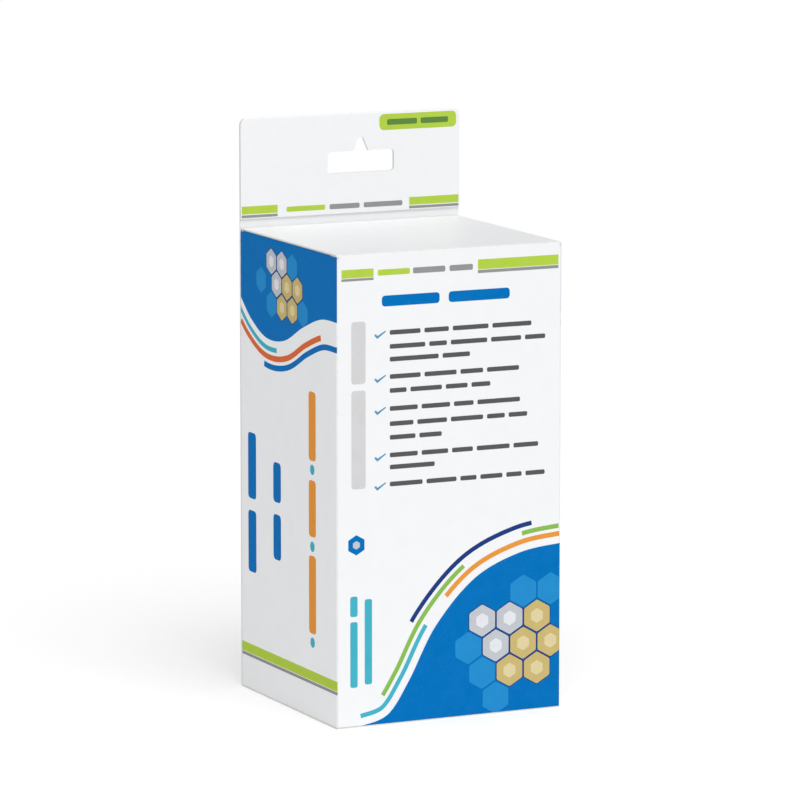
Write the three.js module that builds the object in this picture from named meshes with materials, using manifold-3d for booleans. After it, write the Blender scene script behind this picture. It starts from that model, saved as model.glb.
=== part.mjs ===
// A hanging retail carton: a folded paperboard sleeve with a glued bottom, a top lid that is hinged
// on the back wall and tucks in behind the front wall, two dust flaps under the lid, and an outer
// back ply that carries on upwards as a header, folded over to two plies, with a hang slot.
// Millimetres, +Z up, front wall facing -Y. The origin is under the middle of the carton, on the
// surface that it stands on.

import * as THREE from "three";
import { mergeVertices } from "three/addons/utils/BufferGeometryUtils.js";
import Module from "manifold-3d";

const wasm = await Module();
wasm.setup();

// Outside sizes of the erected carton, without its header
const boxWidth = 80;
const boxDepth = 76;
const boxHeight = 153;

// Paperboard
const board = 0.5; // thickness of one ply
const foldRadius = 0.9; // outside radius of the sleeve's four folds
const plyGap = 0.1; // between two plies that are glued or lie on each other
const creaseGap = 0.1; // between two panels that meet at a crease

// Header above the back wall
const headerHeight = 36.2;
const headerCorner = 2.4; // radius of its two upper corners
const headerSideInset = 0.2; // how far its side edges stay inside the sleeve's width
const headerLap = 3; // from the closed lid up to the lower edge of the folded-over ply

// Hang slot: a bar with a rounded peak in the middle of its upper edge
const slotWidth = 24.2;
const slotBarHeight = 7.1;
const slotCorner = 1.3;
const slotPeakFoot = 5.4; // width of the peak where it meets the bar
const slotPeakHeight = 4.6;
const slotPeakRadius = 1.2;
const slotDrop = 8.1; // from the header's top edge to the tip of the peak
const slotShift = 3.6; // how far right of the carton's middle the slot is punched

// Lid and tuck flap
const lidSideInset = 0.3;
const lidFrontPlay = 0.35; // slit between the front wall and the lid's front fold
const tuckDepth = 14;
const tuckCorner = 7;
const tuckSideInset = 1.8; // from the sleeve's outside

// Dust flaps
const dustLength = 24;
const dustFrontGap = 4.5; // from the front wall to the flap's front edge, at the crease
const dustFrontTaper = 3; // how much further back the front edge is at the flap's tip
const dustBackGap = 1.5; // from the lid's crease to the flap's back edge
const dustCorner = 3;

// Glued bottom
const bottomInset = 0.2; // of the outer flap's free edges from the sleeve's outside
const bottomPlay = 0.3; // between the walls and the flaps that lie inside them
const bottomDustLength = 26;

const curveSteps = 6; // an outline cuts each of its arcs into twice as many facets
const beyond = 5; // how far a cutting solid runs past what it cuts

// Levels and faces that follow from the sizes
const right = boxWidth / 2;
const front = -boxDepth / 2;
const back = boxDepth / 2;
const frontInner = front + board;
const outerPlyFront = back - board;
const sleeveBack = outerPlyFront - plyGap;
const backInner = sleeveBack - board;
const sleeveBottom = board + plyGap;
const headerTop = boxHeight + headerHeight;

// Crease lines, each at the inner corner of its fold, where folded board really turns
const lidCreaseY = backInner - creaseGap;
const lidCreaseZ = boxHeight - board;
const tuckCreaseY = frontInner + lidFrontPlay + board;
const dustCreaseX = right - board - creaseGap;
const dustCreaseZ = lidCreaseZ - plyGap - board;

// Turns a closed geometry into a solid that can be joined and cut.
function solid(geometry) {
  const bare = geometry.clone();
  bare.deleteAttribute("normal");
  bare.deleteAttribute("uv");
  const merged = mergeVertices(bare, 1e-5);
  return new wasm.Manifold(
    new wasm.Mesh({
      numProp: 3,
      vertProperties: new Float32Array(merged.attributes.position.array),
      triVerts: new Uint32Array(merged.index.array),
    }),
  );
}

// Turns a solid back into a geometry with flat faces.
function geometryOf(made) {
  const mesh = made.getMesh();
  const geometry = new THREE.BufferGeometry();
  geometry.setAttribute("position", new THREE.BufferAttribute(mesh.vertProperties, 3));
  geometry.setIndex(new THREE.BufferAttribute(mesh.triVerts, 1));
  const flat = geometry.toNonIndexed();
  flat.computeVertexNormals();
  return flat;
}

function extruded(outline, depth) {
  return new THREE.ExtrudeGeometry(outline, {
    depth,
    bevelEnabled: false,
    curveSegments: curveSteps,
  });
}

// A profile drawn in Y and Z, carried across the carton's width to x = -half and x = half.
function acrossWidth(profile, half) {
  const turn = new THREE.Matrix4().set(0, 0, 1, -half, 1, 0, 0, 0, 0, 1, 0, 0, 0, 0, 0, 1);
  return extruded(profile, 2 * half).applyMatrix4(turn);
}

// An outline or profile drawn in X and Z, carried from y = yLow to y = yHigh.
function alongDepth(outline, yLow, yHigh) {
  return extruded(outline, yHigh - yLow)
    .rotateX(Math.PI / 2)
    .translate(0, yHigh, 0);
}

// An outline drawn in X and Y, carried from z = zLow to z = zHigh.
function upwards(outline, zLow, zHigh) {
  return extruded(outline, zHigh - zLow).translate(0, 0, zLow);
}

// Block between a low corner and a high corner.
function block(low, high) {
  const size = high.map((value, axis) => value - low[axis]);
  const middle = high.map((value, axis) => (value + low[axis]) / 2);
  return new THREE.BoxGeometry(...size).translate(...middle);
}

// The same geometry on the other side of the carton, its faces still pointing out.
function mirrored(geometry) {
  const flipped = geometry.clone().scale(-1, 1, 1);
  const position = flipped.attributes.position;
  const second = new THREE.Vector3();
  const third = new THREE.Vector3();
  for (let corner = 0; corner < position.count; corner += 3) {
    second.fromBufferAttribute(position, corner + 1);
    third.fromBufferAttribute(position, corner + 2);
    position.setXYZ(corner + 1, ...third);
    position.setXYZ(corner + 2, ...second);
  }
  flipped.computeVertexNormals();
  return flipped;
}

// Quarter turn of an outline, anticlockwise about a centre. The start angle is in quarter turns.
function quarter(target, x, y, radius, start) {
  target.absarc(x, y, radius, (start * Math.PI) / 2, ((start + 1) * Math.PI) / 2, false);
}

// Rectangle with one radius on its two lower corners and one on its two upper corners.
function roundedRectangle(target, [x0, y0], [x1, y1], lowerRadius, upperRadius) {
  target.moveTo(x0 + lowerRadius, y0);
  target.lineTo(x1 - lowerRadius, y0);
  quarter(target, x1 - lowerRadius, y0 + lowerRadius, lowerRadius, 3);
  target.lineTo(x1, y1 - upperRadius);
  quarter(target, x1 - upperRadius, y1 - upperRadius, upperRadius, 0);
  target.lineTo(x0 + upperRadius, y1);
  quarter(target, x0 + upperRadius, y1 - upperRadius, upperRadius, 1);
  target.lineTo(x0, y0 + lowerRadius);
  quarter(target, x0 + lowerRadius, y0 + lowerRadius, lowerRadius, 2);
  return target;
}

// Four walls folded round from one strip. The front wall stands up beside the closed lid. The side
// walls end under the creases of the dust flaps, and the back wall ends low enough for the lid's
// fold to straighten above it.
function sleeve() {
  const ring = roundedRectangle(
    new THREE.Shape(), [-right, front], [right, sleeveBack], foldRadius, foldRadius,
  );
  const innerRadius = foldRadius - board;
  const hollow = roundedRectangle(
    new THREE.Path(),
    [-right + board, frontInner], [right - board, backInner], innerRadius, innerRadius,
  );
  ring.holes.push(hollow);
  const sideTop = dustCreaseZ - creaseGap;
  const backTop = lidCreaseZ - board - creaseGap;
  const overSides = block(
    [-right - beyond, frontInner, sideTop],
    [right + beyond, back + beyond, boxHeight + beyond],
  );
  const overBack = block(
    [-right - beyond, backInner, Math.min(backTop, sideTop)],
    [right + beyond, back + beyond, boxHeight + beyond],
  );
  return geometryOf(
    solid(upwards(ring, sleeveBottom, boxHeight)).subtract(solid(overSides)).subtract(solid(overBack)),
  );
}

// The slot's bar and peak as one cutting solid through both plies of the header.
function slotCutter() {
  const barTop = headerTop - slotDrop - slotPeakHeight;
  const bar = roundedRectangle(
    new THREE.Shape(),
    [slotShift - slotWidth / 2, barTop - slotBarHeight], [slotShift + slotWidth / 2, barTop],
    slotCorner, slotCorner,
  );
  // Each flank of the peak runs straight from its foot and touches the round tip.
  const foot = slotPeakFoot / 2;
  const tipZ = barTop + slotPeakHeight - slotPeakRadius;
  const reach = Math.hypot(foot, tipZ - barTop);
  const lean = Math.atan2(foot, tipZ - barTop) - Math.asin(slotPeakRadius / reach);
  const peak = new THREE.Shape();
  peak.moveTo(slotShift - foot, barTop - slotBarHeight / 2);
  peak.lineTo(slotShift + foot, barTop - slotBarHeight / 2);
  peak.lineTo(slotShift + foot, barTop);
  peak.absarc(slotShift, tipZ, slotPeakRadius, lean, Math.PI - lean, false);
  peak.lineTo(slotShift - foot, barTop);
  const through = [back - beyond, back + beyond];
  return solid(alongDepth(bar, ...through)).add(solid(alongDepth(peak, ...through)));
}

// Outer back ply and header, one sheet that turns over at the header's top and comes down again in
// front of itself.
function hangPanel() {
  const foldY = outerPlyFront - plyGap / 2;
  const outerTurn = board + plyGap / 2;
  const innerTurn = plyGap / 2;
  const foldZ = headerTop - outerTurn;
  const lapEdge = boxHeight + headerLap;
  const profile = new THREE.Shape();
  profile.moveTo(outerPlyFront, sleeveBottom);
  profile.lineTo(back, sleeveBottom);
  profile.lineTo(back, foldZ);
  profile.absarc(foldY, foldZ, outerTurn, 0, Math.PI, false);
  profile.lineTo(foldY - outerTurn, lapEdge);
  profile.lineTo(foldY - innerTurn, lapEdge);
  profile.lineTo(foldY - innerTurn, foldZ);
  profile.absarc(foldY, foldZ, innerTurn, Math.PI, 0, true);
  profile.lineTo(outerPlyFront, sleeveBottom);
  const half = right - headerSideInset;
  const outline = roundedRectangle(
    new THREE.Shape(), [-half, sleeveBottom - beyond], [half, headerTop], foldRadius, headerCorner,
  );
  const sheet = solid(acrossWidth(profile, half + beyond));
  const cut = solid(alongDepth(outline, back - beyond, back + beyond));
  return geometryOf(sheet.intersect(cut).subtract(slotCutter()));
}

// Lid, with the rounded outside of a fold along its back and front edges.
function lid() {
  const profile = new THREE.Shape();
  profile.moveTo(tuckCreaseY - board, lidCreaseZ);
  profile.lineTo(lidCreaseY + board, lidCreaseZ);
  quarter(profile, lidCreaseY, lidCreaseZ, board, 0);
  profile.lineTo(tuckCreaseY, boxHeight);
  quarter(profile, tuckCreaseY, lidCreaseZ, board, 1);
  return acrossWidth(profile, right - lidSideInset);
}

// Tuck flap, drawn hanging straight down from its crease at the origin.
function tuckFlap() {
  const half = right - tuckSideInset;
  const outline = new THREE.Shape();
  outline.moveTo(half, -creaseGap);
  outline.lineTo(-half, -creaseGap);
  outline.lineTo(-half, tuckCorner - tuckDepth);
  quarter(outline, -half + tuckCorner, tuckCorner - tuckDepth, tuckCorner, 2);
  outline.lineTo(half - tuckCorner, -tuckDepth);
  quarter(outline, half - tuckCorner, tuckCorner - tuckDepth, tuckCorner, 3);
  return alongDepth(outline, -board, 0);
}

// Dust flap on the right side wall: its profile carries the round outside of the fold, and its plan
// has the tapered front edge and the rounded tip.
function dustFlap() {
  const tipX = dustCreaseX - dustLength;
  const profile = new THREE.Shape();
  profile.moveTo(tipX, dustCreaseZ);
  profile.lineTo(dustCreaseX + board, dustCreaseZ);
  quarter(profile, dustCreaseX, dustCreaseZ, board, 0);
  profile.lineTo(tipX, dustCreaseZ + board);
  const frontEdge = frontInner + dustFrontGap;
  const tipFront = frontEdge + dustFrontTaper;
  const backEdge = lidCreaseY - dustBackGap;
  const plan = new THREE.Shape();
  plan.moveTo(dustCreaseX + beyond, frontEdge);
  plan.lineTo(dustCreaseX + beyond, backEdge);
  plan.lineTo(tipX + dustCorner, backEdge);
  quarter(plan, tipX + dustCorner, backEdge - dustCorner, dustCorner, 1);
  plan.lineTo(tipX, tipFront + dustCorner);
  quarter(plan, tipX + dustCorner, tipFront + dustCorner, dustCorner, 2);
  plan.lineTo(dustCreaseX, frontEdge);
  const strip = solid(alongDepth(profile, front, back));
  const cut = solid(upwards(plan, dustCreaseZ - beyond, dustCreaseZ + beyond));
  return geometryOf(strip.intersect(cut));
}

// Outer bottom flap, folded in from the front wall.
function bottomOuterFlap() {
  const profile = new THREE.Shape();
  profile.moveTo(front + board, 0);
  profile.lineTo(back - bottomInset, 0);
  profile.lineTo(back - bottomInset, board);
  profile.lineTo(front, board);
  quarter(profile, front + board, board, board, 2);
  return acrossWidth(profile, right - bottomInset);
}

// Flat flap inside the walls, between two x positions, on the given layer of the bottom.
function bottomInsideFlap(xLow, xHigh, layer) {
  const zLow = layer * (board + plyGap);
  return block([xLow, frontInner + bottomPlay, zLow], [xHigh, backInner - bottomPlay, zLow + board]);
}

const insideHalf = right - board - bottomPlay;
const bottomDustFlap = bottomInsideFlap(insideHalf - bottomDustLength, insideHalf, 2).toNonIndexed();

const printedBoard = { color: 0xeff1f3, roughness: 0.42, metalness: 0 };
const plainBoard = { color: 0xe4e5e4, roughness: 0.7, metalness: 0 };

const carton = new THREE.Group();

function addPanel(name, geometry, look, parent = carton) {
  const mesh = new THREE.Mesh(geometry, new THREE.MeshStandardMaterial(look));
  mesh.name = name;
  parent.add(mesh);
}

addPanel("carton_sleeve", sleeve(), printedBoard);
addPanel("hang_panel", hangPanel(), printedBoard);
addPanel("lid_panel", lid(), printedBoard);
addPanel("dust_flap_left", mirrored(dustFlap()), printedBoard);
addPanel("dust_flap_right", dustFlap(), printedBoard);
addPanel("bottom_outer_flap", bottomOuterFlap(), printedBoard);
addPanel("bottom_inner_flap", bottomInsideFlap(-insideHalf, insideHalf, 1), plainBoard);
addPanel("bottom_dust_flap_left", mirrored(bottomDustFlap), plainBoard);
addPanel("bottom_dust_flap_right", bottomDustFlap, plainBoard);

// The tuck flap leans inwards from its crease by just enough for its lower edge to swing up past
// the front wall as the lid opens: the edge is then no further from the lid's crease than the
// lid's own front fold is.
const tuckMount = new THREE.Group();
tuckMount.position.set(0, tuckCreaseY, lidCreaseZ);
tuckMount.rotation.x = Math.asin(tuckDepth / (2 * (lidCreaseY - tuckCreaseY)));
addPanel("tuck_flap", tuckFlap(), printedBoard, tuckMount);
carton.add(tuckMount);

export default carton;
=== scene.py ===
# Looks of a hang-tab folding carton, built around its imported CAD model: coated white board with
# raw cut edges, folded strips at the creases, and the print as thin films of ink.
# The dictionaries are in millimetres, and the scene is in metres.

import math

import bmesh
import bpy
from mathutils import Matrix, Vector


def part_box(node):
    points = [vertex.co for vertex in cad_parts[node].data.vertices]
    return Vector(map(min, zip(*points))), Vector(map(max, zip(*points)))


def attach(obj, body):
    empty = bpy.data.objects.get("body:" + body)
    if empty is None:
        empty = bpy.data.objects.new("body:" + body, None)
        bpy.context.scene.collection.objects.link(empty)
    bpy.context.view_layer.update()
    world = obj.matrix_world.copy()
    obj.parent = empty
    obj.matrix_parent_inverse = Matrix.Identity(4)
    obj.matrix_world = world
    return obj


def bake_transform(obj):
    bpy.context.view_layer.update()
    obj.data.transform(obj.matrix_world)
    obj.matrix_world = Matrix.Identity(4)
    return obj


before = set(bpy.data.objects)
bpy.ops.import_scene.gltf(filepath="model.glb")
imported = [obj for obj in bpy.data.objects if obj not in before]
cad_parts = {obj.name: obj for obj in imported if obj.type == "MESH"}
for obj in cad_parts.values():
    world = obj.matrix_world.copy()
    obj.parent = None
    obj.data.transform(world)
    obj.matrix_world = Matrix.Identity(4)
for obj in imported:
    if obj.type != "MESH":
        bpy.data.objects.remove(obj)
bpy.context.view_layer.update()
mm = 0.001


# Camera, floor and lights

camera = {
    "turn": -25.5,  # degrees round the carton from straight in front
    "tilt": 9.05,
    "away": 1829,
    "aim": (0.33, 0, 98.64),
    "lens": 252.3,
    "sensor": 36,
    "nearest": 50,
    "farthest": 60000,
}


def makeCamera():
    turn, tilt = math.radians(camera["turn"]), math.radians(camera["tilt"])
    level = math.cos(tilt)
    back = Vector((math.sin(turn) * level, -math.cos(turn) * level, math.sin(tilt)))
    data = bpy.data.cameras.new("photoCamera")
    data.sensor_width, data.lens = camera["sensor"], camera["lens"]
    data.clip_start, data.clip_end = camera["nearest"] * mm, camera["farthest"] * mm
    eye = bpy.data.objects.new("photoCamera", data)
    eye.location = (Vector(camera["aim"]) + back * camera["away"]) * mm
    eye.rotation_euler = (-back).to_track_quat("-Z", "Y").to_euler()
    bpy.context.scene.collection.objects.link(eye)
    bpy.context.scene.camera = eye


studio = {
    "floorSize": 60000,
    "floorDrop": 0.02,  # keeps the floor clear of the carton's bottom
    "floorColour": (0.62, 0.62, 0.62),
    "floorRoughness": 0.9,
    "floorGlow": 0.42,  # lifts the paper sweep to near white, as behind a product picture
    "worldColour": (1.0, 1.0, 1.0),
    "worldStrength": 0.37,
    "sunFrom": (-0.045, -0.33, 0.57),  # the way from the carton to the sun
    "sunStrength": 2.1,
    "sunAngle": 45,
}


def makeStage():
    bpy.context.scene.view_settings.view_transform = "Standard"
    half = studio["floorSize"] / 2 * mm
    corners = [(-half, -half, 0), (half, -half, 0), (half, half, 0), (-half, half, 0)]
    mesh = bpy.data.meshes.new("floor")
    mesh.from_pydata(corners, [], [(0, 1, 2, 3)])
    floor = bpy.data.objects.new("floor", mesh)
    floor.location.z = -studio["floorDrop"] * mm
    bpy.context.scene.collection.objects.link(floor)
    paint = bpy.data.materials.new("palePaper")
    paint.use_nodes = True
    shader = paint.node_tree.nodes["Principled BSDF"]
    shader.inputs["Base Color"].default_value = (*studio["floorColour"], 1)
    shader.inputs["Roughness"].default_value = studio["floorRoughness"]
    shader.inputs["Specular IOR Level"].default_value = 0.0
    shader.inputs["Emission Color"].default_value = (1, 1, 1, 1)
    shader.inputs["Emission Strength"].default_value = studio["floorGlow"]
    mesh.materials.append(paint)

    world = bpy.data.worlds.new("softRoom")
    world.use_nodes = True
    sky = world.node_tree.nodes["Background"]
    sky.inputs["Color"].default_value = (*studio["worldColour"], 1)
    sky.inputs["Strength"].default_value = studio["worldStrength"]
    bpy.context.scene.world = world

    data = bpy.data.lights.new("softSun", "SUN")
    data.energy, data.angle = studio["sunStrength"], math.radians(studio["sunAngle"])
    sun = bpy.data.objects.new("softSun", data)
    sun.rotation_euler = (-Vector(studio["sunFrom"])).to_track_quat("-Z", "Y").to_euler()
    bpy.context.scene.collection.objects.link(sun)


makeCamera()
makeStage()
print("camera, floor and lights are up")


# Shader groups that several finishes share

def newGroup(name, takes, gives):
    group = bpy.data.node_groups.new(name, "ShaderNodeTree")
    for label, kind, value in takes:
        socket = group.interface.new_socket(label, in_out="INPUT", socket_type=kind)
        if value is not None:
            socket.default_value = value
    for label, kind in gives:
        group.interface.new_socket(label, in_out="OUTPUT", socket_type=kind)
    return group, Wiring(group)


class Wiring:
    # Short calls for putting nodes into a tree and joining them
    def __init__(self, tree):
        self.tree = tree

    def node(self, kind, **settings):
        made = self.tree.nodes.new(kind)
        for key, value in settings.items():
            setattr(made, key, value)
        return made

    def join(self, source, target):
        self.tree.links.new(source, target)

    def feed(self, target, value):
        if isinstance(value, bpy.types.NodeSocket):
            self.join(value, target)
        elif value is not None:
            target.default_value = value

    def math(self, operation, a, b=None, c=None):
        made = self.node("ShaderNodeMath", operation=operation)
        for socket, value in zip(made.inputs, (a, b, c)):
            self.feed(socket, value)
        return made.outputs[0]

    def vector(self, operation, a, b=None):
        made = self.node("ShaderNodeVectorMath", operation=operation)
        self.feed(made.inputs[0], a)
        self.feed(made.inputs[1], b)
        return made.outputs["Value" if operation == "DOT_PRODUCT" else "Vector"]

    def ramp(self, value, low, high):
        # Goes smoothly from 0 at low to 1 at high
        made = self.node("ShaderNodeMapRange", interpolation_type="SMOOTHSTEP")
        for label, given in (("Value", value), ("From Min", low), ("From Max", high)):
            self.feed(made.inputs[label], given)
        return made.outputs["Result"]

    def noise(self, vector, size, detail, roughness):
        # size is the width of one blotch in metres
        made = self.node("ShaderNodeTexNoise")
        self.feed(made.inputs["Vector"], vector)
        self.feed(made.inputs["Scale"], self.math("DIVIDE", 1.0, size))
        made.inputs["Detail"].default_value = detail
        made.inputs["Roughness"].default_value = roughness
        return made.outputs["Fac"]

    def mix(self, factor, a, b):
        made = self.node("ShaderNodeMix", data_type="RGBA")
        self.feed(made.inputs[0], factor)
        self.feed(made.inputs[6], a)
        self.feed(made.inputs[7], b)
        return made.outputs[2]


# Sizes in the groups are in metres, as Object coordinates are
groupLooks = {
    "Fibre": (4.0, 0.65),  # detail and roughness of each kind of blotch
    "Cloud": (3.0, 0.55),
    "Wave": (1.0, 0.4),
    "Rub": (5.0, 0.7),
    "Mottle": (3.0, 0.6),
    "Speck": (2.0, 0.5),
    "grain": (1.0, 1.0, 0.35),  # fibres lie along the sheet's grain
    "rubSize": 0.0022,
    "rubBand": (0.5, 0.72),
    "speckBand": (0.66, 0.78),
}


def makeBoardGroup():
    # Paperboard's relief and tone: fibres, cloudy formation and the sheet's slow waves
    group, w = newGroup("boardRelief", [
        ("Vector", "NodeSocketVector", None), ("Fibre Size", "NodeSocketFloat", 0.0005),
        ("Cloud Size", "NodeSocketFloat", 0.006), ("Wave Size", "NodeSocketFloat", 0.045),
    ], [("Fibre", "NodeSocketFloat"), ("Cloud", "NodeSocketFloat"), ("Wave", "NodeSocketFloat")])
    given, gone = w.node("NodeGroupInput"), w.node("NodeGroupOutput")
    where = given.outputs["Vector"]
    stretched = w.node("ShaderNodeMapping")
    w.join(where, stretched.inputs["Vector"])
    stretched.inputs["Scale"].default_value = groupLooks["grain"]
    for kind, vector in (("Fibre", stretched.outputs[0]), ("Cloud", where), ("Wave", where)):
        blotch = w.noise(vector, given.outputs[kind + " Size"], *groupLooks[kind])
        w.join(blotch, gone.inputs[kind])
    return group


def makeEdgeGroup():
    # A band along the edges of a box-shaped piece, broken up as rubbed board is
    group, w = newGroup("rubbedEdge", [
        ("Vector", "NodeSocketVector", None), ("Centre", "NodeSocketVector", (0, 0, 0)),
        ("Half Size", "NodeSocketVector", (0.04, 0.04, 0.08)), ("Reach", "NodeSocketFloat", 0.0009),
    ], [("Band", "NodeSocketFloat"), ("Rub", "NodeSocketFloat")])
    given, gone = w.node("NodeGroupInput"), w.node("NodeGroupOutput")
    away = w.vector("SUBTRACT", given.outputs["Vector"], given.outputs["Centre"])
    depth = w.vector("SUBTRACT", w.vector("ABSOLUTE", away), given.outputs["Half Size"])
    parts = w.node("ShaderNodeSeparateXYZ")
    w.join(depth, parts.inputs[0])
    x, y, z = parts.outputs
    # The second largest depth is near 0 where two sides meet
    middle = w.math("MINIMUM", w.math("MAXIMUM", x, y), z)
    middle = w.math("MAXIMUM", w.math("MINIMUM", x, y), middle)
    band = w.ramp(middle, w.math("MULTIPLY", given.outputs["Reach"], -1.0), 0.0)
    w.join(band, gone.inputs["Band"])
    blotch = w.noise(given.outputs["Vector"], groupLooks["rubSize"], *groupLooks["Rub"])
    w.join(w.math("MULTIPLY", band, w.ramp(blotch, *groupLooks["rubBand"])), gone.inputs["Rub"])
    return group


def makeInkGroup():
    # How evenly an ink lies: soft mottle, and fine specks where the sheet shows through
    group, w = newGroup("inkLay", [
        ("Vector", "NodeSocketVector", None), ("Mottle Size", "NodeSocketFloat", 0.004),
        ("Speck Size", "NodeSocketFloat", 0.00035),
    ], [("Mottle", "NodeSocketFloat"), ("Speck", "NodeSocketFloat")])
    given, gone = w.node("NodeGroupInput"), w.node("NodeGroupOutput")
    where = given.outputs["Vector"]
    w.join(w.noise(where, given.outputs["Mottle Size"], *groupLooks["Mottle"]), gone.inputs["Mottle"])
    blotch = w.noise(where, given.outputs["Speck Size"], *groupLooks["Speck"])
    w.join(w.ramp(blotch, *groupLooks["speckBand"]), gone.inputs["Speck"])
    return group


boardGroup, edgeGroup, inkGroup = makeBoardGroup(), makeEdgeGroup(), makeInkGroup()


def placeGroup(w, group, **values):
    made = w.node("ShaderNodeGroup", node_tree=group)
    for label, value in values.items():
        w.feed(made.inputs[label.replace("_", " ")], value)
    return made.outputs


def startMaterial(name):
    material = bpy.data.materials.new(name)
    material.use_nodes = True
    w = Wiring(material.node_tree)
    return material, w, w.node("ShaderNodeTexCoord"), material.node_tree.nodes["Principled BSDF"]


def relief(w, shader, heights):
    # A chain of Bump nodes, one for each (height, depth in millimetres)
    normal = None
    for height, depth in heights:
        bump = w.node("ShaderNodeBump")
        bump.inputs["Strength"].default_value = 1.0
        bump.inputs["Distance"].default_value = depth * mm
        w.feed(bump.inputs["Height"], height)
        w.feed(bump.inputs["Normal"], normal)
        normal = bump.outputs[0]
    w.join(normal, shader.inputs["Normal"])


# Finishes of the board

board = {
    "thickness": 0.5,
    "coated": (0.905, 0.912, 0.925),
    "coatedCloud": (0.893, 0.901, 0.914),
    "inner": (0.80, 0.79, 0.755),
    "innerFibre": (0.72, 0.705, 0.665),
    "cut": (0.78, 0.765, 0.73),
    "rubbed": (0.70, 0.70, 0.69),
    "cloudBand": (0.35, 0.7),
    "fibreBand": (0.35, 0.7),
    "cutBand": (0.4, 0.65),
    "sideBand": (0.35, 0.65),  # how squarely a face lies before it has its side's full finish
    "across": 0.5,  # a face lies across an axis if its normal has more of the axis than this
    "rubShare": 0.55,
    "roughness": 0.40,
    "cloudRoughness": 0.10,  # added by the coating's clouds, and below by the rubbed edges
    "edgeRoughness": 0.12,
    "innerRoughness": 0.88,
    "specular": 0.35,
    "fibreDepth": 0.03,
    "filled": 0.88,  # how much of the fibres' relief the coating fills
    "waveDepth": 0.10,
    "headerFold": 0.7,  # height of the fold at the header's top
}


def colour(rgb):
    return (*rgb, 1.0)


def blotchy(w, blotch, band, one, other):
    return w.mix(w.ramp(blotch, *board[band]), colour(board[one]), colour(board[other]))


def boardMaterial(name, node=None, facing=None):
    # facing(w, place) gives 1 on the coated side, -1 on the inner side and about 0 on a cut edge.
    # Without it, the board is uncoated all over.
    material, w, place, shader = startMaterial(name)
    where = place.outputs["Object"]
    grain = placeGroup(w, boardGroup, Vector=where)
    raw = blotchy(w, grain["Fibre"], "fibreBand", "inner", "innerFibre")
    fine = grain["Fibre"]
    shader.inputs["Specular IOR Level"].default_value = board["specular"]
    shader.inputs["Roughness"].default_value = board["innerRoughness"]
    if facing is None:
        w.join(raw, shader.inputs["Base Color"])
    else:
        low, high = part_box(node)
        centre, halfSize = (low + high) / 2, (high - low) / 2
        edge = placeGroup(w, edgeGroup, Vector=where, Centre=centre, Half_Size=halfSize)
        side = facing(w, place)
        least, full = board["sideBand"]
        inner, coated = w.ramp(side, -least, -full), w.ramp(side, least, full)
        face = blotchy(w, grain["Cloud"], "cloudBand", "coated", "coatedCloud")
        rub = w.math("MULTIPLY", edge["Rub"], board["rubShare"])
        face = w.mix(rub, face, colour(board["rubbed"]))
        cut = blotchy(w, grain["Fibre"], "cutBand", "cut", "innerFibre")
        w.join(w.mix(coated, w.mix(inner, cut, raw), face), shader.inputs["Base Color"])
        gloss = w.math("MULTIPLY_ADD", grain["Cloud"], board["cloudRoughness"], board["roughness"])
        gloss = w.math("MULTIPLY_ADD", edge["Band"], board["edgeRoughness"], gloss)
        rough = w.node("ShaderNodeMix")
        w.feed(rough.inputs[0], coated)
        rough.inputs[2].default_value = board["innerRoughness"]
        w.join(gloss, rough.inputs[3])
        w.join(rough.outputs[0], shader.inputs["Roughness"])
        fine = w.math("MULTIPLY", fine, w.math("MULTIPLY_ADD", coated, -board["filled"], 1.0))
    relief(w, shader, [(grain["Wave"], board["waveDepth"]), (fine, board["fibreDepth"])])
    return material


def facesAlong(x, y, z):
    def facing(w, place):
        return w.vector("DOT_PRODUCT", place.outputs["Normal"], Vector((x, y, z)).normalized())
    return facing


def sleeveFacing(w, place):
    # The sleeve's outside is what lies beyond a box drawn inside its walls
    low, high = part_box("carton_sleeve")
    half = (high - low) / 2 - Vector((1, 1, 0)) * board["thickness"] * mm / 2
    away = w.vector("ABSOLUTE", w.vector("SUBTRACT", place.outputs["Object"], (low + high) / 2))
    parts = w.node("ShaderNodeSeparateXYZ")
    w.join(w.vector("SUBTRACT", away, half), parts.inputs[0])
    outside = w.math("GREATER_THAN", w.math("MAXIMUM", parts.outputs[0], parts.outputs[1]), 0.0)
    signed = w.math("MULTIPLY_ADD", outside, 2.0, -1.0)
    normal = w.node("ShaderNodeSeparateXYZ")
    w.join(place.outputs["Normal"], normal.inputs[0])
    upright = w.math("LESS_THAN", w.math("ABSOLUTE", normal.outputs[2]), board["across"])
    return w.math("MULTIPLY", signed, upright)


def headerFacing(w, place):
    # Both plies show their coated side, on their faces and round the fold at the top
    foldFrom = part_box("hang_panel")[1].z - board["headerFold"] * mm
    normal, at = w.node("ShaderNodeSeparateXYZ"), w.node("ShaderNodeSeparateXYZ")
    w.join(place.outputs["Normal"], normal.inputs[0])
    w.join(place.outputs["Object"], at.inputs[0])
    face = w.math("GREATER_THAN", w.math("ABSOLUTE", normal.outputs[1]), board["across"])
    fold = w.math("GREATER_THAN", at.outputs[2], foldFrom)
    notEnd = w.math("LESS_THAN", w.math("ABSOLUTE", normal.outputs[0]), board["across"])
    return w.math("MAXIMUM", face, w.math("MULTIPLY", fold, notEnd))


finishes = {
    "carton_sleeve": sleeveFacing,
    "hang_panel": headerFacing,
    "lid_panel": facesAlong(0, 0, 1),
    "tuck_flap": facesAlong(0, -1, 0),
    "dust_flap_left": facesAlong(0, 0, 1),
    "dust_flap_right": facesAlong(0, 0, 1),
    "bottom_outer_flap": facesAlong(0, 0, -1),
    "bottom_inner_flap": None,
    "bottom_dust_flap_left": None,
    "bottom_dust_flap_right": None,
}
for node, facing in finishes.items():
    finish = boardMaterial(node + "_board", node, facing)
    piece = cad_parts[node]
    for holder in piece.material_slots:
        holder.material = finish
print("the board has its finishes")


# Inks, as linear colours

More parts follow.
